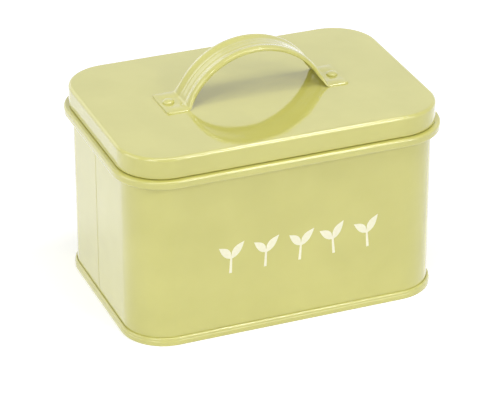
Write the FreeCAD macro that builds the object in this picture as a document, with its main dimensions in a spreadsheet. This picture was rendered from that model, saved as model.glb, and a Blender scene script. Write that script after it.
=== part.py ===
"""Seed storage tin with a lift-off lid: a folded steel wall, a seamed base, a pressed lid and
a fluted strap handle on two rivets. Lengths are in millimetres and +Z is up. The origin is the
middle of the footprint, on the ground, and the handle runs along X."""

import FreeCAD, Part
import math
import os
import Sketcher

# Driving dimensions, one row of the spreadsheet each
SIZES = {
    # side wall, over its flat outer faces
    "wall_length": 149.5,
    "wall_depth": 101.2,
    "corner_radius": 19.6,
    "sheet": 0.3,
    # full-round bead swaged out of the wall, below the lid
    "bead_floor": 80.5,
    "bead_height": 3.9,
    "bead_stand": 4.0,
    # rim hemmed inwards at the top of the neck
    "rim_hem": 2.4,
    "rim_bevel": 0.4,
    "rim_clearance": 0.1,
    # lock seam that closes the wall at the middle of its left side, folded to the inside
    "lock_width": 5.0,
    "lock_folds": 0.9,
    "lock_margin": 2.0,
    "groove_width": 0.4,
    "groove_depth": 0.12,
    # double seam that joins the base to the wall
    "seam_height": 4.0,
    "seam_clearance": 0.06,
    "base_recess": 3.2,
    "base_lap": 3.0,
    # lid
    "lid_clearance": 0.5,
    "lid_seat": 0.3,
    "lid_height": 10.0,
    "lid_edge_radius": 2.4,
    "lid_edge_inside": 1.6,
    "hem_width": 1.1,
    "hem_height": 2.4,
    "lid_lap": 3.5,
    # handle strap: arch over its underside, then its width between the curled edges
    "arch_radius": 35.4,
    "arch_rise": 23.6,
    "foot_bend": 2.0,
    "strap_width": 17.3,
    "strap_sheet": 0.8,
    "flute_offset": 3.6,
    "flute_flank": 1.1,
    "flute_height": 0.3,
    "shoulder_fall": 0.3,
    "curl_depth": 1.2,
    "curl_width": 1.0,
    # flat tabs at its two ends, from the foot's bend outward, and a root under the bend
    "tab_length": 9.75,
    "tab_root": 1.1,
    "tab_width": 21.5,
    "tab_corner": 2.0,
    # rivets
    "rivet_inset": 4.3,
    "rivet_shank": 1.6,
    "rivet_clearance": 0.05,
    "rivet_head": 2.7,
    "rivet_height": 1.4,
    "rivet_brim": 0.5,
    "rivet_crown": 1.5,
    "rivet_tail": 2.4,
    "rivet_tail_height": 0.8,
}

RIGHT_ANGLE = math.pi / 2
SKETCH_ORIGIN = (-1, 1)

# A bend in flats has this many of them
FLAT_COUNT = 3
# Two points of an outline nearer than this are one
SAME_SPOT = 1e-6


class Size:
    """A length with its number, for drawing, and its expression, for binding to the sheet."""

    def __init__(self, number, text):
        self.number = number
        self.text = text

    def __add__(self, other):
        other = as_size(other)
        return Size(self.number + other.number, f"({self.text} + {other.text})")

    def __sub__(self, other):
        other = as_size(other)
        return Size(self.number - other.number, f"({self.text} - {other.text})")

    def __mul__(self, other):
        other = as_size(other)
        return Size(self.number * other.number, f"({self.text} * {other.text})")

    def __truediv__(self, other):
        other = as_size(other)
        return Size(self.number / other.number, f"({self.text} / {other.text})")

    def __neg__(self):
        return self * -1

    def squared(self):
        return self * self

    def root(self):
        return Size(math.sqrt(self.number), f"sqrt({self.text})")


def as_size(value):
    """A bare number as a Size, and a Size as itself."""
    return value if isinstance(value, Size) else Size(float(value), str(float(value)))


def make_sheet(doc):
    """Write the driving dimensions into the spreadsheet, and return them by name."""
    sheet = doc.addObject("Spreadsheet::Sheet", "sizes")
    for row, (name, number) in enumerate(SIZES.items(), start=1):
        sheet.set(f"A{row}", name)
        sheet.set(f"B{row}", str(number))
        sheet.setAlias(f"B{row}", name)
    doc.recompute()
    return {name: Size(float(number), f"sizes.{name}") for name, number in SIZES.items()}


# ---- sketches --------------------------------------------------------------------------

def new_body(label):
    body = doc.addObject("PartDesign::Body", label)
    body.Label = label
    return body


def new_sketch(body, role, name, offset=None):
    """A sketch on one of the body's own origin planes, moved along its normal by an offset."""
    plane = next(item for item in body.Origin.OriginFeatures if item.Role == role)
    sketch = body.newObject("Sketcher::SketchObject", name)
    sketch.AttachmentSupport = [(plane, "")]
    sketch.MapMode = "FlatFace"
    if offset is not None:
        sketch.setExpression("AttachmentOffset.Base.z", offset.text)
    return sketch


def add_line(sketch, start, end):
    start = FreeCAD.Vector(start[0], start[1], 0)
    end = FreeCAD.Vector(end[0], end[1], 0)
    return sketch.addGeometry(Part.LineSegment(start, end), False)


def add_arc(sketch, centre, radius, start_angle, end_angle):
    circle = Part.Circle(FreeCAD.Vector(centre[0], centre[1], 0), FreeCAD.Vector(0, 0, 1), radius)
    return sketch.addGeometry(Part.ArcOfCircle(circle, start_angle, end_angle), False)


def add_circle(sketch, x, y, radius):
    centre = FreeCAD.Vector(x.number, y.number, 0)
    circle = Part.Circle(centre, FreeCAD.Vector(0, 0, 1), radius.number)
    index = sketch.addGeometry(circle, False)
    place_point(sketch, (index, 3), x, y)
    bind(sketch, ("Radius", index), radius)


def bind(sketch, target, size):
    """Add a dimension to a sketch and bind it to the sheet."""
    index = sketch.addConstraint(Sketcher.Constraint(*target, size.number))
    name = f"{target[0]}_{index}"
    sketch.renameConstraint(index, name)
    sketch.setExpression(f"Constraints.{name}", size.text)


def join(sketch, first, second, kind="Coincident"):
    sketch.addConstraint(Sketcher.Constraint(kind, *first, *second))


def place_point(sketch, point, x, y):
    bind(sketch, ("DistanceX", *SKETCH_ORIGIN, *point), x)
    bind(sketch, ("DistanceY", *SKETCH_ORIGIN, *point), y)


class Step:
    """A point of an outline. Where an arc leaves it, it has that arc's centre and whether the
    arc turns left."""

    def __init__(self, x, y, centre=None, turns_left=False):
        self.x = x
        self.y = y
        self.centre = centre
        self.turns_left = turns_left
        self.spot = (x.number, y.number)


def heading(here, there):
    """The direction from one corner to the next, along X or along Y."""
    across = there[0].number - here[0].number
    up = there[1].number - here[1].number
    length = math.hypot(across, up)
    return round(across / length), round(up / length)


def finish_corners(corners):
    """The steps of an outline of level and upright edges, whose corners are (x, y, finish). A
    finish is None for a square corner, or ("bend", radius), ("flats", radius) for a bend in
    equal flats, or ("bevel", reach)."""
    steps = []
    for i, (x, y, finish) in enumerate(corners):
        if not finish:
            steps.append(Step(x, y))
            continue
        kind, reach = finish
        arrive = heading(corners[i - 1], corners[i])
        leave = heading(corners[i], corners[(i + 1) % len(corners)])
        centre = (x + reach * (leave[0] - arrive[0]), y + reach * (leave[1] - arrive[1]))
        flats = {"bend": 1, "bevel": 1, "flats": FLAT_COUNT}[kind]
        rim = []
        for k in range(flats + 1):
            turn = RIGHT_ANGLE * k / flats
            back = math.cos(turn)
            on = math.sin(turn)
            rim.append(Step(
                centre[0] + reach * (on * arrive[0] - back * leave[0]),
                centre[1] + reach * (on * arrive[1] - back * leave[1]),
            ))
        if kind == "bend":
            turns_left = arrive[0] * leave[1] > arrive[1] * leave[0]
            rim[0] = Step(rim[0].x, rim[0].y, centre, turns_left)
        if steps and math.dist(steps[-1].spot, rim[0].spot) < SAME_SPOT:
            steps.pop()
        steps += rim
    return steps


def draw_step(sketch, here, there):
    """One edge of an outline. Returns its two ends in the outline's order."""
    if not here.centre:
        index = add_line(sketch, here.spot, there.spot)
        return (index, 1), (index, 2)
    centre = (here.centre[0].number, here.centre[1].number)
    ends = (here.spot, there.spot) if here.turns_left else (there.spot, here.spot)
    first, last = [math.atan2(end[1] - centre[1], end[0] - centre[0]) for end in ends]
    index = add_arc(sketch, centre, math.dist(centre, here.spot), first, last)
    bind(sketch, ("DistanceX", *SKETCH_ORIGIN, index, 3), here.centre[0])
    return ((index, 1), (index, 2)) if here.turns_left else ((index, 2), (index, 1))


def closed_outline(sketch, steps):
    """Draw an outline through its steps, with each point bound to the sheet."""
    edges = [draw_step(sketch, here, there) for here, there in zip(steps, steps[1:] + steps[:1])]
    for i, step in enumerate(steps):
        place_point(sketch, edges[i][0], step.x, step.y)
        join(sketch, edges[i - 1][1], edges[i][0])


def rounded_rectangle(sketch, length, depth, radius):
    """A rectangle round the sketch's origin with equal rounded corners."""
    x = length / 2
    y = depth / 2
    bend = ("bend", radius)
    corners = [(x, -y, bend), (x, y, bend), (-x, y, bend), (-x, -y, bend)]
    closed_outline(sketch, finish_corners(corners))


def rectangle(sketch, left, right, bottom, top):
    corners = [(left, bottom), (right, bottom), (right, top), (left, top)]
    closed_outline(sketch, [Step(x, y) for x, y in corners])


# ---- features --------------------------------------------------------------------------

def plan_sketch(body, name, outward, offset=None):
    """The tin's plan outline, moved outward from the wall's outer face."""
    sketch = new_sketch(body, "XY_Plane", name, offset)
    length = size["wall_length"] + outward * 2
    depth = size["wall_depth"] + outward * 2
    rounded_rectangle(sketch, length, depth, size["corner_radius"] + outward)
    return sketch


def sweep_round(body, name, corners):
    """Sweep a folded sheet's section round the tin. Its corners give the distance outward from
    the wall's outer face, the height, and the finish."""
    path = plan_sketch(body, f"{name}_path", as_size(0))
    section = new_sketch(body, "XZ_Plane", f"{name}_section")
    face = size["wall_length"] / 2
    placed = [(face + outward, height, finish) for outward, height, finish in corners]
    closed_outline(section, finish_corners(placed))
    sweep = body.newObject("PartDesign::AdditivePipe", name)
    sweep.Profile = (section, [])
    sweep.Spine = (path, [])
    return sweep


def pad(body, name, sketch, length):
    feature = body.newObject("PartDesign::Pad", name)
    feature.Profile = (sketch, [])
    feature.setExpression("Length", length.text)
    return feature


def pocket_through(body, name, sketch):
    """Cut a sketch's outline through the whole body, both ways from the sketch."""
    feature = body.newObject("PartDesign::Pocket", name)
    feature.Profile = (sketch, [])
    feature.Type = "ThroughAll"
    feature.Midplane = True
    return feature


def volume_after(feature):
    doc.recompute()
    return feature.Shape.Volume


# ---- pieces ----------------------------------------------------------------------------

def make_body_wall():
    """The side wall: one strip with a hook for the base seam at its foot, a swaged bead that
    carries the lid's edge, and a neck with a hemmed rim that the lid slips over."""
    sheet = size["sheet"]
    gap = size["seam_clearance"]
    hook = (gap + sheet) * 2
    hook_floor = sheet + gap
    hook_top = size["seam_height"] - sheet - gap
    stand = size["bead_stand"]
    nose = ("flats", size["bead_height"] / 2)
    hem_foot = rim_top - size["rim_hem"]
    body = new_body("body_wall")
    sweep_round(body, "wall", [
        (-sheet, hook_floor, None),
        (hook, hook_floor, None),
        (hook, hook_top, None),
        (hook - sheet, hook_top, None),
        (hook - sheet, hook_floor + sheet, None),
        (as_size(0), hook_floor + sheet, None),
        (as_size(0), size["bead_floor"], None),
        (stand, size["bead_floor"], nose),
        (stand, bead_top, nose),
        (as_size(0), bead_top, None),
        (as_size(0), rim_top, ("bevel", size["rim_bevel"])),
        (-sheet * 2, rim_top, None),
        (-sheet * 2, hem_foot, None),
        (-sheet, hem_foot, None),
        (-sheet, bead_top - sheet, None),
        (stand - sheet * 2, bead_top - sheet, None),
        (stand - sheet * 2, size["bead_floor"] + sheet, None),
        (-sheet, size["bead_floor"] + sheet, None),
    ])
    add_lock_seam(body)
    return body


def add_lock_seam(body):
    """Fold the strip's two ends together inside the left wall, and leave their line outside."""
    face = -(size["wall_length"] / 2)
    middle = face + size["sheet"] / 2
    fold = face + size["sheet"] + size["lock_folds"]
    half = size["lock_width"] / 2
    foot = size["seam_height"] + size["lock_margin"]
    height = size["bead_floor"] - size["lock_margin"] - foot
    folds = new_sketch(body, "XY_Plane", "lock_plan", foot)
    rectangle(folds, middle, fold, -half, half)
    before = volume_after(pad(body, "lock_folds", folds, height))

    line = new_sketch(body, "XY_Plane", "groove_plan", foot)
    depth = size["groove_depth"]
    rectangle(line, face - depth, face + depth, half, half + size["groove_width"])
    groove = body.newObject("PartDesign::Pocket", "lock_groove")
    groove.Profile = (line, [])
    groove.Reversed = True
    groove.setExpression("Length", height.text)
    if volume_after(groove) >= before:
        raise ValueError("the lock seam's groove cuts nothing")


def make_base_pan():
    """The base: a recessed panel whose edge drops to the ground and folds up and over the
    wall's hook, as the outer layers of the double seam."""
    sheet = size["sheet"]
    gap = size["seam_clearance"]
    chuck_wall = -(sheet + gap)
    skin = (gap + sheet) * 2 + gap
    ground = as_size(0)
    recess = size["base_recess"]
    lap = -size["base_lap"]
    hook_end = (sheet + gap) * 2
    fold = size["seam_height"] - sheet
    body = new_body("base_pan")
    sweep_round(body, "base_seam", [
        (lap, recess, None),
        (chuck_wall - sheet, recess, None),
        (chuck_wall - sheet, ground, None),
        (skin + sheet, ground, None),
        (skin + sheet, size["seam_height"], None),
        (gap, size["seam_height"], None),
        (gap, hook_end, None),
        (gap + sheet, hook_end, None),
        (gap + sheet, fold, None),
        (skin, fold, None),
        (skin, sheet, None),
        (chuck_wall, sheet, None),
        (chuck_wall, recess + sheet, None),
        (lap, recess + sheet, None),
    ])
    panel = plan_sketch(body, "panel_plan", lap + sheet, recess)
    pad(body, "base_panel", panel, sheet)
    return body


def make_lid_pan():
    """The lid: a pressed panel with a rounded edge and a skirt, hemmed inwards at its foot,
    with two holes for the handle's rivets."""
    sheet = size["sheet"]
    hem_inside = size["lid_clearance"]
    outer = hem_inside + size["hem_width"]
    lap = -size["lid_lap"]
    under = lid_top - sheet
    hem_top = skirt_foot + size["hem_height"]
    body = new_body("lid_pan")
    sweep_round(body, "lid_skirt", [
        (hem_inside, skirt_foot, None),
        (outer, skirt_foot, None),
        (outer, lid_top, ("bend", size["lid_edge_radius"])),
        (lap, lid_top, None),
        (lap, under, None),
        (outer - sheet, under, ("bevel", size["lid_edge_inside"])),
        (outer - sheet, hem_top, None),
        (hem_inside, hem_top, None),
    ])
    panel = plan_sketch(body, "lid_plan", lap + sheet, under)
    before = volume_after(pad(body, "lid_panel", panel, sheet))
    holes = new_sketch(body, "XY_Plane", "lid_rivet_holes", under)
    cut_rivet_holes(body, holes, before)
    return body


def cut_rivet_holes(body, sketch, volume_before):
    radius = size["rivet_shank"] + size["rivet_clearance"]
    for side in (-1, 1):
        add_circle(sketch, rivet_place * side, as_size(0), radius)
    holes = pocket_through(body, "rivet_holes_cut", sketch)
    if volume_after(holes) >= volume_before:
        raise ValueError("the rivet holes cut nothing")


def strap_section():
    """Half of the strap's section, from its middle to its edge and back along the underside:
    a flat, a pressed flute, a falling shoulder and a curled edge. Points are (across, up)."""
    web = size["strap_sheet"]
    flute_in = size["flute_offset"]
    crest = flute_in + size["flute_flank"]
    flute_out = crest + size["flute_flank"]
    edge = size["strap_width"] / 2
    curl_in = edge - size["curl_width"]
    curl_foot = -size["curl_depth"]
    ground = as_size(0)
    return [
        (flute_in, web), (crest, web + size["flute_height"]), (flute_out, web),
        (edge, web - size["shoulder_fall"]), (edge, curl_foot), (curl_in, curl_foot),
        (flute_out, ground), (crest, size["flute_height"]), (flute_in, ground),
    ]


def strap_path(sketch):
    """The line of the strap's underside from end to end: a tab on the lid, a tight bend, the
    arch, and the same on the other side."""
    radius = size["arch_radius"]
    bend = size["foot_bend"]
    end = strap_end
    centre = arch_centre
    foot = arch_foot.number
    lean = math.atan2(bend.number - centre.number, foot)
    left_tab = add_line(sketch, (-end.number, 0), (-foot, 0))
    left_bend = add_arc(sketch, (-foot, bend.number), bend.number, -RIGHT_ANGLE, -lean)
    arch = add_arc(sketch, (0, centre.number), radius.number, lean, math.pi - lean)
    right_bend = add_arc(sketch, (foot, bend.number), bend.number, math.pi + lean, 3 * RIGHT_ANGLE)
    right_tab = add_line(sketch, (foot, 0), (end.number, 0))
    place_point(sketch, (left_tab, 1), -end, as_size(0))
    place_point(sketch, (right_tab, 2), end, as_size(0))
    place_point(sketch, (arch, 3), as_size(0), centre)
    bind(sketch, ("Radius", arch), radius)
    bind(sketch, ("Radius", left_bend), bend)
    bind(sketch, ("Radius", right_bend), bend)
    join(sketch, (left_tab, 2), (left_bend, 1), "Tangent")
    join(sketch, (left_bend, 2), (arch, 2), "Tangent")
    join(sketch, (arch, 1), (right_bend, 1), "Tangent")
    join(sketch, (right_bend, 2), (right_tab, 1), "Tangent")
    sketch.addConstraint(Sketcher.Constraint("Horizontal", left_tab))
    sketch.addConstraint(Sketcher.Constraint("Horizontal", right_tab))


def make_handle_strap():
    """The handle: a strap with two flutes and curled edges, bent into an arch, with a flat,
    wider tab at each end that is riveted to the lid. Its own height zero is the lid's top."""
    body = new_body("handle_strap")
    path = new_sketch(body, "XZ_Plane", "strap_path")
    strap_path(path)
    section = new_sketch(body, "YZ_Plane", "strap_section", -strap_end)
    half = strap_section()
    outline = half + [(-across, up) for across, up in reversed(half)]
    closed_outline(section, [Step(across, up) for across, up in outline])
    strap = body.newObject("PartDesign::AdditivePipe", "strap")
    strap.Profile = (section, [])
    strap.Spine = (path, [])
    level_feet(body, volume_after(strap))
    before = volume_after(pad(body, "tabs", tab_plan(body), size["strap_sheet"]))
    cut_rivet_holes(body, new_sketch(body, "XY_Plane", "strap_rivet_holes"), before)
    body.setExpression("Placement.Base.z", lid_top.text)
    return body


def level_feet(body, volume_before):
    """End the curled edges level with the tabs' underside, where they meet the lid."""
    edge = size["strap_width"] / 2
    waste = new_sketch(body, "XY_Plane", "feet_waste")
    rectangle(waste, -strap_end, strap_end, -edge, edge)
    level = body.newObject("PartDesign::Pocket", "feet_level")
    level.Profile = (waste, [])
    level.setExpression("Length", size["curl_depth"].text)
    if volume_after(level) >= volume_before:
        raise ValueError("the curled edges stop short of the lid")


def tab_plan(body):
    """Both tabs seen from above: square where the arch leaves them, rounded at their ends."""
    edge = size["tab_width"] / 2
    root = arch_foot - size["tab_root"]
    end = strap_end
    bend = ("bend", size["tab_corner"])
    plan = new_sketch(body, "XY_Plane", "tab_plan")
    right = [(root, -edge, None), (end, -edge, bend), (end, edge, bend), (root, edge, None)]
    left = [(-x, -y, finish) for x, y, finish in right]
    closed_outline(plan, finish_corners(right))
    closed_outline(plan, finish_corners(left))
    return plan


def make_rivet(label, side):
    """The rivet that holds one tab: its own height zero is the top of the strap's web."""
    shank = size["rivet_shank"]
    head = size["rivet_head"]
    tail = size["rivet_tail"]
    crown = size["rivet_crown"]
    top = size["rivet_height"]
    grip = -(size["strap_sheet"] + size["sheet"])
    foot = grip - size["rivet_tail_height"]
    centre = seat = as_size(0)
    body = new_body(label)
    sketch = new_sketch(body, "XZ_Plane", f"{label}_profile")
    profile = [
        (centre, foot), (tail, foot), (tail, grip), (shank, grip), (shank, seat), (head, seat),
        (head, size["rivet_brim"]), (crown, top), (centre, top),
    ]
    closed_outline(sketch, [Step(across, up) for across, up in profile])
    turned = body.newObject("PartDesign::Revolution", f"{label}_turned")
    turned.Profile = (sketch, [])
    turned.ReferenceAxis = (sketch, ["V_Axis"])
    turned.Angle = 360
    body.setExpression("Placement.Base.x", (rivet_place * side).text)
    body.setExpression("Placement.Base.z", (lid_top + size["strap_sheet"]).text)
    return body


# ---- check and export ------------------------------------------------------------------

def check_model(pieces):
    for item in doc.Objects:
        if "Invalid" in item.State or "Error" in item.State:
            raise ValueError(f"{item.Label} failed: {item.State}")
    for piece in pieces:
        shape = piece.Shape
        if shape.isNull() or not shape.isValid() or len(shape.Solids) != 1:
            raise ValueError(f"{piece.Label} isn't one valid solid")


def export_pieces(pieces):
    os.makedirs("parts", exist_ok=True)
    for piece in pieces:
        piece.Shape.exportStep(os.path.join("parts", f"{piece.Label}.step"))
        box = piece.Shape.BoundBox
        print(f"{piece.Label}: {piece.Shape.Volume:.1f} mm3, Z {box.ZMin:.2f} to {box.ZMax:.2f}")


doc = FreeCAD.newDocument("seed_tin")
size = make_sheet(doc)

# Heights, which the pieces share
bead_top = size["bead_floor"] + size["bead_height"]
skirt_foot = bead_top + size["lid_seat"]
lid_top = skirt_foot + size["lid_height"]
rim_top = lid_top - size["sheet"] - size["rim_clearance"]

# The handle's line: where its foot bends start, its ends and its rivets, from the middle
arch_centre = size["arch_rise"] - size["arch_radius"]
arch_reach = (size["arch_radius"] + size["foot_bend"]).squared()
arch_foot = (arch_reach - (size["foot_bend"] - arch_centre).squared()).root()
strap_end = arch_foot + size["tab_length"]
rivet_place = strap_end - size["rivet_inset"]

pieces = [
    make_body_wall(),
    make_base_pan(),
    make_lid_pan(),
    make_handle_strap(),
    make_rivet("rivet_left", -1),
    make_rivet("rivet_right", 1),
]
doc.recompute()
check_model(pieces)
export_pieces(pieces)
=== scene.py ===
"""A seed storage tin in glossy green-yellow enamel: a rolled wall with a swaged bead, a seamed
base, and a lift-off lid with a fluted strap handle. Section sizes are in millimetres."""

import math

import bmesh
import bpy
from mathutils import Matrix, Vector


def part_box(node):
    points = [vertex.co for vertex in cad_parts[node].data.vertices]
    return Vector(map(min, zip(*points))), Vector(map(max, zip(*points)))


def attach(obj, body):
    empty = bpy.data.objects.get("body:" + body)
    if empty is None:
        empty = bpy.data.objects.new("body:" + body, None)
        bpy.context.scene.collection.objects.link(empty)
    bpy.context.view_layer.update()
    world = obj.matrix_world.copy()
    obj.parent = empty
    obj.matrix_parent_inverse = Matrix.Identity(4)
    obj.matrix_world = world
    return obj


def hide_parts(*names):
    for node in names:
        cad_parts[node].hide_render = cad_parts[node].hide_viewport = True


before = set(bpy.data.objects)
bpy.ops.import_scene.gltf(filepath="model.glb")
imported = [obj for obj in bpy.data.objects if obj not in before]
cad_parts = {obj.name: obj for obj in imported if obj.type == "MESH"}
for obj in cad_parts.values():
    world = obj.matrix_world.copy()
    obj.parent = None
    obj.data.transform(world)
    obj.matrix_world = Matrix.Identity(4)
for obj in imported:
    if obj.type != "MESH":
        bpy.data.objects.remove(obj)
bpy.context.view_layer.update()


# ---- Wall ----
# One strip of 0.3 mm tinplate, rolled to the tin's plan and locked together at the middle of
# its left side. A hollow bead is swaged out below the lid, the rim is hemmed inwards, and the
# foot is hooked into the base seam. Enamelled inside and out.

MM = 0.001
SHEET = 0.3
SEAM_GAP = 0.06
BEAD_STAND = 4.0
CORNER_RADIUS = 19.6

wall_low, wall_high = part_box("body_wall")
WALL_LENGTH = (wall_high[0] - wall_low[0]) / MM - 2 * BEAD_STAND
WALL_DEPTH = (wall_high[1] - wall_low[1]) / MM - 2 * BEAD_STAND


def bent(corners, closed=True, step=math.radians(12)):
    """The points of an outline through corners of (x, y, bend radius), with each bend in even
    steps."""
    points = []
    last = len(corners) - 1
    for i, (x, y, radius) in enumerate(corners):
        corner = Vector((x, y))
        if not radius or (not closed and i in (0, last)):
            points.append(corner)
            continue
        arrive = (corner - Vector(corners[i - 1][:2])).normalized()
        leave = (Vector(corners[(i + 1) % len(corners)][:2]) - corner).normalized()
        turn = math.atan2(arrive.x * leave.y - arrive.y * leave.x, arrive.dot(leave))
        side = math.copysign(1, turn)
        start = corner - arrive * radius * math.tan(abs(turn) / 2)
        centre = start + Vector((-arrive.y, arrive.x)) * side * radius
        count = max(2, math.ceil(abs(turn) / step))
        for k in range(count + 1):
            points.append(centre + Matrix.Rotation(turn * k / count, 2) @ (start - centre))
    return [p for i, p in enumerate(points) if (p - points[i - 1]).length > 1e-4]


def add_node(tree, kind, inputs=None, **settings):
    """A node with its settings, and its inputs set or linked by name or number."""
    node = tree.nodes.new(kind)
    for name, value in settings.items():
        setattr(node, name, value)
    for name, value in (inputs or {}).items():
        if isinstance(value, bpy.types.NodeSocket):
            tree.links.new(value, node.inputs[name])
        else:
            node.inputs[name].default_value = value
    return node


def new_tree(name, sizes):
    """An empty Geometry Nodes tree with a geometry, a material and the named sizes as inputs,
    and its group input node."""
    tree = bpy.data.node_groups.new(name, "GeometryNodeTree")
    sockets = {"Geometry": "NodeSocketGeometry", "Material": "NodeSocketMaterial", **sizes}
    for socket, kind in sockets.items():
        tree.interface.new_socket(name=socket, in_out="INPUT", socket_type=kind)
    tree.interface.new_socket(name="Geometry", in_out="OUTPUT", socket_type="NodeSocketGeometry")
    return tree, tree.nodes.new("NodeGroupInput")


def end_tree(tree, given, geometry):
    """Weld, shade, realize and paint what a tree has made, and put it out."""
    welded = add_node(tree, "GeometryNodeMergeByDistance", {"Geometry": geometry, "Distance": 1e-6})
    smooth = add_node(tree, "GeometryNodeSetShadeSmooth", {"Geometry": welded.outputs[0]})
    real = add_node(tree, "GeometryNodeRealizeInstances", {"Geometry": smooth.outputs[0]})
    painted = add_node(tree, "GeometryNodeSetMaterial", {
        "Geometry": real.outputs[0], "Material": given.outputs["Material"]})
    add_node(tree, "NodeGroupOutput", {"Geometry": painted.outputs[0]})


def grown(name, tree, points, values, closed=True):
    """The plain mesh that a tree grows from a wire through points, which are in millimetres."""
    count = len(points)
    wire = bpy.data.meshes.new(name)
    edges = [(i, (i + 1) % count) for i in range(count if closed else count - 1)]
    wire.from_pydata([(p.x * MM, -p.y * MM, 0) for p in points], edges, [])
    piece = bpy.data.objects.new(name, wire)
    bpy.context.scene.collection.objects.link(piece)
    grow = piece.modifiers.new("grow", "NODES")
    grow.node_group = tree
    for item in tree.interface.items_tree:
        if item.in_out == "INPUT" and item.name in values:
            grow[item.identifier] = values[item.name]
    graph = bpy.context.evaluated_depsgraph_get()
    piece.data = bpy.data.meshes.new_from_object(piece.evaluated_get(graph))
    piece.modifiers.remove(grow)
    return piece


def finished(piece, fill=False):
    """Close the open ends if asked, turn the faces outwards, and keep the flats flat beside
    their bends."""
    mesh = bmesh.new()
    mesh.from_mesh(piece.data)
    if fill:
        bmesh.ops.holes_fill(mesh, edges=[e for e in mesh.edges if e.is_boundary])
    bmesh.ops.recalc_face_normals(mesh, faces=mesh.faces)
    for face in mesh.faces:
        face.smooth = True
    mesh.to_mesh(piece.data)
    mesh.free()
    piece.data.set_sharp_from_angle(angle=math.radians(35))
    flat = piece.modifiers.new("flat_beside_bends", "WEIGHTED_NORMAL")
    flat.keep_sharp = True
    flat.weight = 100
    return piece


rolled_tree, rolled = new_tree("rolled_round_the_plan", {
    "Length": "NodeSocketFloat", "Depth": "NodeSocketFloat", "Corner Radius": "NodeSocketFloat",
    "Corner Steps": "NodeSocketInt"})
plan = add_node(rolled_tree, "GeometryNodeCurvePrimitiveQuadrilateral", {
    "Width": rolled.outputs["Length"], "Height": rolled.outputs["Depth"]})
rounded = add_node(rolled_tree, "GeometryNodeFilletCurve", {
    "Curve": plan.outputs[0], "Count": rolled.outputs["Corner Steps"],
    "Radius": rolled.outputs["Corner Radius"]}, mode="POLY")
upright = add_node(rolled_tree, "GeometryNodeSetCurveNormal", {"Curve": rounded.outputs[0]},
                   mode="Z_UP")
section = add_node(rolled_tree, "GeometryNodeMeshToCurve", {"Mesh": rolled.outputs["Geometry"]})
swept = add_node(rolled_tree, "GeometryNodeCurveToMesh", {
    "Curve": upright.outputs[0], "Profile Curve": section.outputs[0]})
end_tree(rolled_tree, rolled, swept.outputs[0])


CORNER_STEPS = 20


def rolled_round(name, corners, paint, closed=True, fill=False):
    """A sheet's section of (outward from the wall, height, bend radius), rolled round the tin."""
    piece = grown(name, rolled_tree, bent(corners, closed), {
        "Material": paint, "Length": WALL_LENGTH * MM, "Depth": WALL_DEPTH * MM,
        "Corner Radius": CORNER_RADIUS * MM, "Corner Steps": CORNER_STEPS}, closed)
    return finished(piece, fill)


def colour(text):
    """An sRGB hex colour as linear red, green, blue and alpha."""
    parts = [int(text[i:i + 2], 16) / 255 for i in (1, 3, 5)]
    return [c / 12.92 if c <= 0.04045 else ((c + 0.055) / 1.055) ** 2.4 for c in parts] + [1]


def stove_enamel(name, low, high):
    """Sprayed and stoved alkyd enamel on tinplate: a wet gloss over a colour that varies a
    little with the coat's thickness. The coat keeps a faint orange peel about 1.5 mm across,
    and the thin sheet under it is never quite flat, so reflections bend slightly."""
    material = bpy.data.materials.new(name)
    material.use_nodes = True
    tree = material.node_tree
    tree.nodes.clear()
    place = add_node(tree, "ShaderNodeTexCoord").outputs["Object"]
    cloud = add_node(tree, "ShaderNodeTexNoise", {
        "Vector": place, "Scale": 1 / (22 * MM), "Detail": 3.0, "Roughness": 0.45})
    tint = add_node(tree, "ShaderNodeValToRGB", {"Fac": cloud.outputs["Fac"]})
    tint.color_ramp.elements[0].position = 0.35
    tint.color_ramp.elements[0].color = colour(low)
    tint.color_ramp.elements[1].position = 0.65
    tint.color_ramp.elements[1].color = colour(high)
    haze = add_node(tree, "ShaderNodeTexNoise", {
        "Vector": place, "Scale": 1 / (6 * MM), "Detail": 4.0, "Roughness": 0.6})
    rough = add_node(tree, "ShaderNodeMapRange", {
        "Value": haze.outputs["Fac"], "From Min": 0.3, "From Max": 0.7, "To Min": 0.07,
        "To Max": 0.12})
    waves = add_node(tree, "ShaderNodeTexNoise", {
        "Vector": place, "Scale": 1 / (28 * MM), "Detail": 1.0, "Roughness": 0.4})
    bowed = add_node(tree, "ShaderNodeBump", {
        "Height": waves.outputs["Fac"], "Strength": 1.0, "Distance": 0.12 * MM})
    peel = add_node(tree, "ShaderNodeTexNoise", {
        "Vector": place, "Scale": 1 / (1.5 * MM), "Detail": 2.0, "Roughness": 0.5})
    skin = add_node(tree, "ShaderNodeBump", {
        "Height": peel.outputs["Fac"], "Strength": 1.0, "Distance": 0.006 * MM,
        "Normal": bowed.outputs["Normal"]})
    enamel = add_node(tree, "ShaderNodeBsdfPrincipled", {
        "Base Color": tint.outputs["Color"], "Roughness": rough.outputs["Result"], "IOR": 1.5,
        "Coat Weight": 1.0, "Coat Roughness": 0.04, "Coat IOR": 1.5,
        "Normal": skin.outputs["Normal"], "Coat Normal": skin.outputs["Normal"]})
    add_node(tree, "ShaderNodeOutputMaterial", {"Surface": enamel.outputs["BSDF"]})
    return material


ENAMEL = ("#C8C46A", "#CDC96F")
wall_enamel = stove_enamel("wall_stove_enamel", *ENAMEL)

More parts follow.
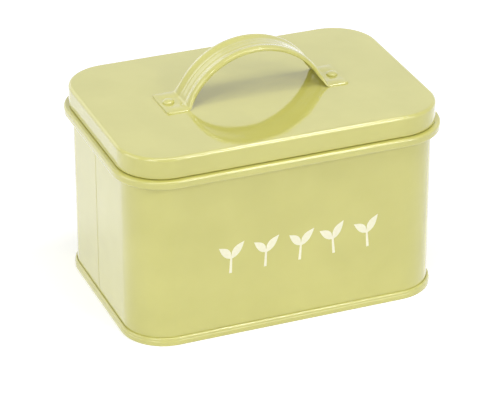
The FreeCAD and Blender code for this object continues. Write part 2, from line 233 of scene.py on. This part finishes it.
SEAM_TOP = 4.0
BEAD_FLOOR = 80.5
BEAD_TOP = 84.4
NECK_TOP = wall_high[2] / MM
RIM_HEM = 2.4
HOOK = 2 * (SHEET + SEAM_GAP)
HOOK_FLOOR = SHEET + SEAM_GAP
HOOK_TOP = SEAM_TOP - HOOK_FLOOR
HOOK_BEND = 0.3
BEAD_ROUND = 1.0
BEAD_ROOT = 0.7
RIM_BEND = 0.29
wall = rolled_round("wall", [
    (-SHEET, HOOK_FLOOR, HOOK_BEND),
    (HOOK, HOOK_FLOOR, HOOK_BEND),
    (HOOK, HOOK_TOP, 0),
    (HOOK - SHEET, HOOK_TOP, 0),
    (HOOK - SHEET, HOOK_FLOOR + SHEET, 0),
    (0, HOOK_FLOOR + SHEET, 0),
    (0, BEAD_FLOOR, BEAD_ROOT),
    (BEAD_STAND, BEAD_FLOOR, BEAD_ROUND),
    (BEAD_STAND, BEAD_TOP, BEAD_ROUND),
    (0, BEAD_TOP, BEAD_ROOT),
    (0, NECK_TOP, RIM_BEND),
    (-2 * SHEET, NECK_TOP, RIM_BEND),
    (-2 * SHEET, NECK_TOP - RIM_HEM, 0),
    (-SHEET, NECK_TOP - RIM_HEM, 0),
    (-SHEET, BEAD_TOP - SHEET, BEAD_ROOT + SHEET),
    (BEAD_STAND - SHEET, BEAD_TOP - SHEET, BEAD_ROUND - SHEET),
    (BEAD_STAND - SHEET, BEAD_FLOOR + SHEET, BEAD_ROUND - SHEET),
    (-SHEET, BEAD_FLOOR + SHEET, BEAD_ROOT + SHEET),
], wall_enamel)
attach(wall, "tin")
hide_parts("body_wall")


def pressed_strip(name, low, high, radius, paint):
    """A flat strip between two corners, in millimetres, with all its edges rounded."""
    mesh = bmesh.new()
    bmesh.ops.create_cube(mesh, size=1)
    for v in mesh.verts:
        v.co = Vector((high[i] if v.co[i] > 0 else low[i]) * MM for i in range(3))
    bmesh.ops.bevel(mesh, geom=mesh.edges[:], offset=radius * MM, segments=3, affect="EDGES",
                    profile=0.5)
    data = bpy.data.meshes.new(name)
    mesh.to_mesh(data)
    mesh.free()
    data.materials.append(paint)
    strip = bpy.data.objects.new(name, data)
    bpy.context.scene.collection.objects.link(strip)
    return finished(strip)


# The lock seam: both ends of the strip are folded over each other and pressed flat to the
# inside, which leaves one fine raised line down the outside of the left wall.
LOCK_FACE = -WALL_LENGTH / 2
LOCK_HALF = 2.5
LOCK_FOLDS = 0.9
LOCK_MARGIN = 2.0
LOCK_LINE_WIDTH = 0.6
LOCK_LINE_STAND = 0.1
lock_line = pressed_strip("lock_seam_line", (LOCK_FACE - LOCK_LINE_STAND, LOCK_HALF, SEAM_TOP - 0.2),
                          (LOCK_FACE + 0.2, LOCK_HALF + LOCK_LINE_WIDTH, BEAD_FLOOR + 0.3), 0.08,
                          wall_enamel)
lock_folds = pressed_strip("lock_seam_folds", (LOCK_FACE + 0.1, -LOCK_HALF, SEAM_TOP + LOCK_MARGIN),
                           (LOCK_FACE + SHEET + LOCK_FOLDS, LOCK_HALF, BEAD_FLOOR - LOCK_MARGIN), 0.3,
                           wall_enamel)
for seam in (lock_line, lock_folds):
    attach(seam, "tin")


# ---- Base ----
# A pressed tinplate pan. Its panel is set up off the ground, and its edge drops to the ground
# and folds up and over the wall's hook, as the outer skin of a flattened double seam. The
# seaming rolls leave a shallow step along the seam's face.

BASE_RECESS = 3.2
BASE_LAP = 3.0
CHUCK_WALL = -(SHEET + SEAM_GAP)
SEAM_SKIN = HOOK + SEAM_GAP
ROLL_STEP = 0.22
ROLL_FOOT = 2.3
ROLL_HEAD = 2.64
ROLL_BEND = 0.2
ROLL_SHOULDER = 0.4
PANEL_BEND = 0.3
CHUCK_BEND = 0.5
SEAM_FOOT_ROUND = 0.75
SEAM_HEAD_ROUND = 0.78
SEAM_LIP_BEND = 0.2
base_enamel = stove_enamel("base_stove_enamel", *ENAMEL)
base = rolled_round("base", [
    (-BASE_LAP, BASE_RECESS, 0),
    (CHUCK_WALL - SHEET, BASE_RECESS, PANEL_BEND),
    (CHUCK_WALL - SHEET, 0, CHUCK_BEND),
    (SEAM_SKIN + ROLL_STEP + SHEET, 0, SEAM_FOOT_ROUND),
    (SEAM_SKIN + ROLL_STEP + SHEET, ROLL_FOOT, ROLL_SHOULDER),
    (SEAM_SKIN + SHEET, ROLL_HEAD, ROLL_BEND),
    (SEAM_SKIN + SHEET, SEAM_TOP, SEAM_HEAD_ROUND),
    (SEAM_GAP, SEAM_TOP, SEAM_LIP_BEND),
    (SEAM_GAP, HOOK_FLOOR + 2 * SHEET, 0),
    (SEAM_GAP + SHEET, HOOK_FLOOR + 2 * SHEET, 0),
    (SEAM_GAP + SHEET, SEAM_TOP - SHEET, 0),
    (SEAM_SKIN, SEAM_TOP - SHEET, SEAM_HEAD_ROUND - SHEET),
    (SEAM_SKIN, ROLL_HEAD, ROLL_BEND),
    (SEAM_SKIN + ROLL_STEP, ROLL_FOOT, ROLL_BEND),
    (SEAM_SKIN + ROLL_STEP, SHEET, 0),
    (CHUCK_WALL, SHEET, 0),
    (CHUCK_WALL, BASE_RECESS + SHEET, CHUCK_BEND),
    (-BASE_LAP, BASE_RECESS + SHEET, 0),
], base_enamel, closed=False, fill=True)
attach(base, "tin")
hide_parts("base_pan")


# ---- Lid ----
# A pressed tinplate lid: a flat panel, a rounded edge and an upright skirt whose foot is hemmed
# inwards, so that it slips over the neck and rests just above the bead.

lid_low, lid_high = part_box("lid_pan")
LID_TOP = lid_high[2] / MM
SKIRT_FOOT = lid_low[2] / MM
SKIRT_FACE = (lid_high[0] - lid_low[0]) / MM / 2 - WALL_LENGTH / 2
HEM_WIDTH = 1.1
HEM_HEIGHT = 2.4
HEM_TOP_BEND = 0.35
HEM_FOOT_BEND = 0.4
SKIRT_FOOT_BEND = 0.5
LID_EDGE = 1.6
LID_LAP = 3.5
lid_enamel = stove_enamel("lid_stove_enamel", *ENAMEL)
lid = rolled_round("lid", [
    (-LID_LAP, LID_TOP - SHEET, 0),
    (SKIRT_FACE - SHEET, LID_TOP - SHEET, LID_EDGE - SHEET),
    (SKIRT_FACE - SHEET, SKIRT_FOOT + HEM_HEIGHT, 0),
    (SKIRT_FACE - HEM_WIDTH, SKIRT_FOOT + HEM_HEIGHT, HEM_TOP_BEND),
    (SKIRT_FACE - HEM_WIDTH, SKIRT_FOOT, HEM_FOOT_BEND),
    (SKIRT_FACE, SKIRT_FOOT, SKIRT_FOOT_BEND),
    (SKIRT_FACE, LID_TOP, LID_EDGE),
    (-LID_LAP, LID_TOP, 0),
], lid_enamel, closed=False, fill=True)
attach(lid, "lid")
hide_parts("lid_pan")


# ---- Handle strap ----
# A strip of 0.8 mm steel with a broad rib rolled along each side and both long edges curled
# under, bent into an arch. At each foot the curls are pressed out flat, which makes a wider
# tab that lies on the lid under a rivet.

strap_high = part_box("handle_strap")[1]
TAB_END = strap_high[0] / MM
TAB_EDGE = strap_high[1] / MM
TAB_CORNER = 2.0
WEB = 0.8
ARCH_EDGE = 8.65
SHOULDER_FALL = 0.3
CURL_DEPTH = 1.2
CURL_WIDTH = 1.0
FLUTE_OUT = 5.8
RIB_FOOT = 3.0
RIB_CREST = 6.8
RIB_RISE = 0.28
WEB_DIP = 0.55
LINE_PLACE = 1.7
LINE_HALF = 0.6
LINE_RISE = 0.1
ARCH_RADIUS = 35.4
ARCH_RISE = 23.6
ARCH_CENTRE = ARCH_RISE - ARCH_RADIUS
ARCH_STEPS = 48
FOOT_BEND = 2.0
FOOT_STEPS = 10
FOOT_SLOPE = math.acos((FOOT_BEND - ARCH_CENTRE) / (ARCH_RADIUS + FOOT_BEND))
FOOT_PLACE = (ARCH_RADIUS + FOOT_BEND) * math.sin(FOOT_SLOPE)
TAB_LENGTH = TAB_END - FOOT_PLACE
TAB_RUNS = (0.15, 0.4, 0.8, 1.3, 2.0, 3.2, 4.5, 6.0, 7.5, 9.0)
FLARE = 7.0
FLARE_END = 0.5
RIB_END = 0.8
RIB_FADE = 3.0
SECTION_STEP = 0.2
handle_enamel = stove_enamel("handle_stove_enamel", *ENAMEL)


def strap_section():
    """The arch's outline as (across, up), whole and closed, without its ribs."""
    half = [
        (FLUTE_OUT, WEB, 2.0), (ARCH_EDGE, WEB - SHOULDER_FALL, 0.7),
        (ARCH_EDGE, -CURL_DEPTH, 0.55), (ARCH_EDGE - CURL_WIDTH, -CURL_DEPTH, 0.4),
        (FLUTE_OUT, 0, 1.0),
    ]
    whole = bent(half + [(-x, y, r) for x, y, r in reversed(half)], step=math.radians(18))
    section = []
    for here, there in zip(whole, whole[1:] + whole[:1]):
        parts = max(1, round(abs(there.x - here.x) / SECTION_STEP))
        section += [here.lerp(there, k / parts) for k in range(parts)]
    return section


def eased(value):
    """0 below 0, 1 above 1, and an S-shaped rise between them."""
    value = max(0.0, min(1.0, value))
    return value * value * (3 - 2 * value)


def relief(across, flat):
    """How far the strap's ribs stand up at a distance from its middle. The web between them
    dips, and carries two fine lines, but both are pressed out in the tabs."""
    out = abs(across)
    if out > RIB_CREST:
        return RIB_RISE * (1 - eased((out - RIB_CREST) / (ARCH_EDGE - RIB_CREST)))
    side = eased((out - RIB_FOOT) / (RIB_CREST - RIB_FOOT))
    line = LINE_RISE * eased(1 - abs(out - LINE_PLACE) / LINE_HALF)
    return RIB_RISE * side + (line - WEB_DIP * (1 - side)) * (1 - flat)


def strap_ring(section, along, up, angle, left):
    """The section at one place of the path, with so much of the strap's run left to its end.
    The ribs fade out at the tab's tip, and the edges flare as the arch comes down to the tab."""
    flat = 1 - eased((left - TAB_LENGTH - FLARE_END) / FLARE)
    fluted = eased((left - RIB_END) / RIB_FADE)
    reach = TAB_EDGE
    if left < TAB_CORNER:
        reach -= TAB_CORNER - math.sqrt(TAB_CORNER ** 2 - (TAB_CORNER - left) ** 2)
    ring = []
    for p in section:
        beyond = max(0.0, (abs(p.x) - FLUTE_OUT) / (ARCH_EDGE - FLUTE_OUT))
        pressed = max(0.0, p.y + SHOULDER_FALL * min(1, beyond) * (p.y > 0))
        height = p.y + (pressed - p.y) * flat + relief(p.x, flat) * fluted
        wider = 1 + (TAB_EDGE / ARCH_EDGE - 1) * min(1, beyond)
        across = max(-reach, min(reach, p.x * (1 + (wider - 1) * flat)))
        ring.append(Vector((along - height * math.sin(angle), across,
                            LID_TOP + up + height * math.cos(angle))) * MM)
    return ring


def strap_path():
    """The line of the strap's underside as (along, up, direction of travel, run left)."""
    path = [(-TAB_END + run, 0, 0, run) for run in TAB_RUNS]
    for k in range(FOOT_STEPS + 1):
        angle = FOOT_SLOPE * k / FOOT_STEPS
        path.append((-FOOT_PLACE + FOOT_BEND * math.sin(angle), FOOT_BEND * (1 - math.cos(angle)),
                     angle, TAB_LENGTH + FOOT_BEND * angle))
    foot_end = TAB_LENGTH + FOOT_BEND * FOOT_SLOPE
    for k in range(1, ARCH_STEPS + 1):
        angle = FOOT_SLOPE * (1 - k / ARCH_STEPS)
        path.append((-ARCH_RADIUS * math.sin(angle), ARCH_CENTRE + ARCH_RADIUS * math.cos(angle),
                     angle, foot_end + ARCH_RADIUS * (FOOT_SLOPE - angle)))
    return path + [(-x, z, -angle, left) for x, z, angle, left in reversed(path[:-1])]


mesh = bmesh.new()
strap_outline = strap_section()
rings = [[mesh.verts.new(v) for v in strap_ring(strap_outline, *place)] for place in strap_path()]
for here, there in zip(rings, rings[1:]):
    for i in range(len(here)):
        mesh.faces.new((here[i - 1], here[i], there[i], there[i - 1]))
mesh.faces.new(rings[0])
mesh.faces.new(rings[-1])
handle_mesh = bpy.data.meshes.new("handle")
mesh.to_mesh(handle_mesh)
mesh.free()
handle_mesh.materials.append(handle_enamel)
handle = bpy.data.objects.new("handle", handle_mesh)
bpy.context.scene.collection.objects.link(handle)
finished(handle)
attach(handle, "lid")
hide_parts("handle_strap")


# ---- Rivets ----
# Two soft-steel rivets with low domed heads, driven through the tabs and upset under the lid
# before the whole lid was enamelled.

rivet_low, rivet_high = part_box("rivet_right")
RIVET_PLACE = (rivet_low[0] + rivet_high[0]) / 2
RIVET_TOP = rivet_high[2] / MM
RIVET_FOOT = rivet_low[2] / MM
HEAD_SEAT = LID_TOP + WEB
HEAD = (rivet_high[0] - rivet_low[0]) / MM / 2
TAIL = 2.4
SHANK = 1.6
TAIL_SEAT = LID_TOP - SHEET
LATHE = 1.0
rivet_enamel = stove_enamel("rivet_stove_enamel", *ENAMEL)
rivet_tree, riveted = new_tree("turned_rivets", {
    "Lathe Radius": "NodeSocketFloat", "Spacing": "NodeSocketFloat"})
turn = add_node(rivet_tree, "GeometryNodeCurvePrimitiveCircle", {
    "Resolution": 48, "Radius": riveted.outputs["Lathe Radius"]})
level = add_node(rivet_tree, "GeometryNodeSetCurveNormal", {"Curve": turn.outputs[0]}, mode="Z_UP")
profile = add_node(rivet_tree, "GeometryNodeMeshToCurve", {"Mesh": riveted.outputs["Geometry"]})
turned = add_node(rivet_tree, "GeometryNodeCurveToMesh", {
    "Curve": level.outputs[0], "Profile Curve": profile.outputs[0]})
across = add_node(rivet_tree, "ShaderNodeCombineXYZ", {"X": riveted.outputs["Spacing"]})
middle = add_node(rivet_tree, "ShaderNodeVectorMath", {0: across.outputs[0], 1: (-0.5, 0, 0)},
                  operation="MULTIPLY")
row = add_node(rivet_tree, "GeometryNodeMeshLine", {
    "Count": 2, "Start Location": middle.outputs[0], "Offset": across.outputs[0]})
placed = add_node(rivet_tree, "GeometryNodeInstanceOnPoints", {
    "Points": row.outputs[0], "Instance": turned.outputs[0]})
loose = add_node(rivet_tree, "GeometryNodeRealizeInstances", {"Geometry": placed.outputs[0]})
end_tree(rivet_tree, riveted, loose.outputs[0])

TAIL_EDGE = (0.4, 0.3)
BRIM = 0.3
BRIM_EDGE = 0.1
DOME_STEPS = 8
dome = []
for k in range(DOME_STEPS + 1):
    rise = math.radians(90 * k / DOME_STEPS)
    dome.append(Vector((HEAD * math.cos(rise),
                        HEAD_SEAT + BRIM + (RIVET_TOP - HEAD_SEAT - BRIM) * math.sin(rise))))
rivet_profile = [
    Vector((0, RIVET_FOOT)), Vector((TAIL - TAIL_EDGE[0], RIVET_FOOT)),
    Vector((TAIL, RIVET_FOOT + TAIL_EDGE[1])),
    Vector((TAIL, TAIL_SEAT)), Vector((SHANK, TAIL_SEAT)), Vector((SHANK, HEAD_SEAT)),
    Vector((HEAD - BRIM_EDGE, HEAD_SEAT)), Vector((HEAD, HEAD_SEAT + BRIM_EDGE))] + dome
rivets = finished(grown("rivets", rivet_tree, [p - Vector((LATHE, 0)) for p in rivet_profile], {
    "Material": rivet_enamel, "Lathe Radius": LATHE * MM, "Spacing": 2 * RIVET_PLACE}, closed=False))
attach(rivets, "lid")
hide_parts("rivet_left", "rivet_right")


# ---- Print ----
# Screen ink, cream and nearly matt, laid on the front over the enamel: a row of seedlings, each
# a stem with its two first leaves.

INK = 0.04
INK_SUNK = 0.01
SPROUT_COUNT = 5
SPROUT_PITCH = 16.8
SPROUT_FOOT = 31.4
ROW_MIDDLE = 3.4


def screen_ink(name, low, high):
    """Cream ink that covers the enamel with a slightly uneven film and a dull sheen."""
    material = bpy.data.materials.new(name)
    material.use_nodes = True
    tree = material.node_tree
    tree.nodes.clear()
    place = add_node(tree, "ShaderNodeTexCoord").outputs["Object"]
    film = add_node(tree, "ShaderNodeTexNoise", {
        "Vector": place, "Scale": 1 / (1.2 * MM), "Detail": 2.0, "Roughness": 0.5})
    tint = add_node(tree, "ShaderNodeValToRGB", {"Fac": film.outputs["Fac"]})
    tint.color_ramp.elements[0].position = 0.35
    tint.color_ramp.elements[0].color = colour(low)
    tint.color_ramp.elements[1].position = 0.65
    tint.color_ramp.elements[1].color = colour(high)
    ink = add_node(tree, "ShaderNodeBsdfPrincipled", {
        "Base Color": tint.outputs["Color"], "Roughness": 0.45, "IOR": 1.48})
    add_node(tree, "ShaderNodeOutputMaterial", {"Surface": ink.outputs["BSDF"]})
    return material


def leaf(root, tip, belly):
    """The points of one long edge of a leaf, which bulges by its belly on its way to the tip: to
    the left where the belly is positive, and to the right where it is negative."""
    root, tip = Vector(root), Vector(tip)
    side = (tip - root).orthogonal().normalized() * belly
    return [root.lerp(tip, t) + side * math.sin(math.pi * t ** 0.8)
            for t in (0.15, 0.3, 0.45, 0.6, 0.75, 0.9)] + [tip]


print_tree, printed = new_tree("printed_row", {
    "Ink": "NodeSocketFloat", "Count": "NodeSocketInt", "Start": "NodeSocketVector",
    "Pitch": "NodeSocketVector"})
outline = add_node(print_tree, "GeometryNodeMeshToCurve", {"Mesh": printed.outputs["Geometry"]})
patch = add_node(print_tree, "GeometryNodeFillCurve", {"Curve": outline.outputs[0]})
raised = add_node(print_tree, "GeometryNodeExtrudeMesh", {
    "Mesh": patch.outputs[0], "Offset Scale": printed.outputs["Ink"], "Individual": False})
under = add_node(print_tree, "GeometryNodeFlipFaces", {"Mesh": patch.outputs[0]})
sprout = add_node(print_tree, "GeometryNodeJoinGeometry")
print_tree.links.new(raised.outputs[0], sprout.inputs[0])
print_tree.links.new(under.outputs[0], sprout.inputs[0])
sown = add_node(print_tree, "GeometryNodeMeshLine", {
    "Count": printed.outputs["Count"], "Start Location": printed.outputs["Start"],
    "Offset": printed.outputs["Pitch"]})
lean = add_node(print_tree, "FunctionNodeRandomValue", {
    0: (0, 0, -0.09), 1: (0, 0, 0.09), "Seed": 7}, data_type="FLOAT_VECTOR")
grown_size = add_node(print_tree, "FunctionNodeRandomValue", {
    2: 0.93, 3: 1.0, "Seed": 3}, data_type="FLOAT")
planted = add_node(print_tree, "GeometryNodeInstanceOnPoints", {
    "Points": sown.outputs[0], "Instance": sprout.outputs[0], "Rotation": lean.outputs[0],
    "Scale": grown_size.outputs[1]})
stood = add_node(print_tree, "GeometryNodeTransform", {
    "Geometry": planted.outputs[0], "Rotation": (math.radians(90), 0, 0)})
end_tree(print_tree, printed, stood.outputs[0])

STEM_HALF = 0.5
STEM_FOOT_HALF = 0.65
STEM_TOP = 7.4
LEAF_PARTING = 9.0
NOTCH = Vector((0, 8.7))
LEFT_TIP = (-6.2, 13.2)
RIGHT_TIP = (6.0, 15.6)
LOWER_BELLY = 1.3
UPPER_BELLY = 1.7
left_lower = leaf((-STEM_HALF, STEM_TOP), LEFT_TIP, LOWER_BELLY)
left_upper = leaf((-0.1, LEAF_PARTING), LEFT_TIP, -UPPER_BELLY)
right_lower = leaf((STEM_HALF, STEM_TOP), RIGHT_TIP, -LOWER_BELLY)
right_upper = leaf((0.1, LEAF_PARTING), RIGHT_TIP, UPPER_BELLY)
sprout_outline = (
    [Vector((STEM_FOOT_HALF, 0)), Vector((STEM_HALF, STEM_TOP))] + right_lower + right_upper[-2::-1]
    + [NOTCH] + left_upper + left_lower[-2::-1]
    + [Vector((-STEM_HALF, STEM_TOP)), Vector((-STEM_FOOT_HALF, 0))])
seedlings = finished(grown("seedlings", print_tree, [Vector((p.x, -p.y)) for p in sprout_outline], {
    "Material": screen_ink("cream_screen_ink", "#F3F0D2", "#F8F5DB"), "Ink": INK * MM,
    "Count": SPROUT_COUNT, "Pitch": (SPROUT_PITCH * MM, 0, 0),
    "Start": ((ROW_MIDDLE - SPROUT_PITCH * (SPROUT_COUNT - 1) / 2) * MM, SPROUT_FOOT * MM,
              (WALL_DEPTH / 2 - INK_SUNK) * MM)}))
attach(seedlings, "tin")


# ---- Studio ----
# A sheet of white paper under a white sky, with a soft key light almost overhead, soft lamps
# round the sides, and three small bright strips that put the glints on the rolled edges.

FLOOR = 6.0
floor_mesh = bpy.data.meshes.new("floor")
floor_mesh.from_pydata([(-FLOOR, -FLOOR, 0), (FLOOR, -FLOOR, 0), (FLOOR, FLOOR, 0), (-FLOOR, FLOOR, 0)],
                       [], [(0, 1, 2, 3)])
floor = bpy.data.objects.new("floor", floor_mesh)
bpy.context.scene.collection.objects.link(floor)


def seen_directly(tree):
    """1 for what the camera sees straight, or in a gloss or through glass, and 0 for light."""
    ray = add_node(tree, "ShaderNodeLightPath")
    straight = add_node(tree, "ShaderNodeMath", {
        0: ray.outputs["Is Camera Ray"], 1: ray.outputs["Is Glossy Ray"]}, operation="MAXIMUM")
    return add_node(tree, "ShaderNodeMath", {
        0: straight.outputs[0], 1: ray.outputs["Is Transmission Ray"]},
        operation="MAXIMUM").outputs[0]


# Matt white paper. What it shows the camera rises to plain white away from the tin, so that the
# tin's shadow stays and the paper meets the sky without an edge.
paper = bpy.data.materials.new("studio_paper")
paper.use_nodes = True
tree = paper.node_tree
tree.nodes.clear()
place = add_node(tree, "ShaderNodeTexCoord").outputs["Object"]
away = add_node(tree, "ShaderNodeVectorMath", {0: place}, operation="LENGTH")
PAPER_NEAR = 0.35
PAPER_FAR = 1.4
lift = add_node(tree, "ShaderNodeMapRange", {
    "Value": away.outputs["Value"], "From Min": PAPER_NEAR, "From Max": PAPER_FAR, "To Min": 0.4,
    "To Max": 1.0})
shown = add_node(tree, "ShaderNodeMath", {0: lift.outputs[0], 1: seen_directly(tree)},
                 operation="MULTIPLY")
glow = add_node(tree, "ShaderNodeEmission", {"Color": colour("#FFFFFF"), "Strength": shown.outputs[0]})
matt = add_node(tree, "ShaderNodeBsdfDiffuse", {"Color": colour("#F0F0F0")})
both = add_node(tree, "ShaderNodeAddShader", {0: glow.outputs[0], 1: matt.outputs[0]})
add_node(tree, "ShaderNodeOutputMaterial", {"Surface": both.outputs[0]})
floor_mesh.materials.append(paper)

world = bpy.data.worlds.new("studio")
bpy.context.scene.world = world
world.use_nodes = True
tree = world.node_tree
tree.nodes.clear()
SKY_LIGHT = 0.30
dim = add_node(tree, "ShaderNodeMapRange", {
    "Value": seen_directly(tree), "To Min": SKY_LIGHT, "To Max": 1.0})
sky = add_node(tree, "ShaderNodeBackground", {"Color": colour("#FFFFFF"), "Strength": dim.outputs[0]})
add_node(tree, "ShaderNodeOutputWorld", {"Surface": sky.outputs[0]})


def softbox(name, azimuth, elevation, distance, size, radiance):
    """A rectangular lamp that faces the tin from a direction in degrees, where azimuth 0 is the
    front. Its power is that of a plain surface of its size and radiance."""
    lamp = bpy.data.lights.new(name, "AREA")
    lamp.shape = "RECTANGLE"
    lamp.size, lamp.size_y = size
    lamp.energy = radiance * math.pi * size[0] * size[1]
    box = bpy.data.objects.new(name, lamp)
    bpy.context.scene.collection.objects.link(box)
    a, e = math.radians(azimuth), math.radians(elevation)
    away = Vector((math.sin(a) * math.cos(e), -math.cos(a) * math.cos(e), math.sin(e)))
    box.location = Vector((0, 0, 0.05)) + away * distance
    box.rotation_euler = away.to_track_quat("Z", "Y").to_euler()
    return box


softbox("softbox_above", 0, 76, 1.2, (0.8, 0.45), 3.8)
softbox("strip_right", 78, 69, 1.3, (0.26, 0.14), 19.0)
softbox("strip_front", 24, 34, 1.4, (0.26, 0.12), 19.0)
softbox("strip_left", -48, 45, 1.4, (0.16, 0.14), 20.0)
softbox("softbox_front_left", -45, 25, 1.6, (0.7, 0.8), 2.4)
softbox("softbox_front_right", 28, 25, 1.6, (0.7, 0.8), 2.4)
softbox("softbox_left", -95, 25, 1.6, (1.0, 1.0), 1.8)
softbox("softbox_back", 200, 20, 1.6, (1.0, 0.8), 0.7)

LENS = 190
LOOK_DOWN = 27.78
LOOK_ACROSS = 21.89
camera_data = bpy.data.cameras.new("camera")
camera_data.lens = LENS
camera = bpy.data.objects.new("camera", camera_data)
bpy.context.scene.collection.objects.link(camera)
camera.location = (-0.4067, -1.0111, 0.6116)
camera.rotation_euler = (math.radians(90 - LOOK_DOWN), 0, math.radians(-LOOK_ACROSS))
bpy.context.scene.camera = camera
bpy.context.scene.view_settings.view_transform = "Standard"
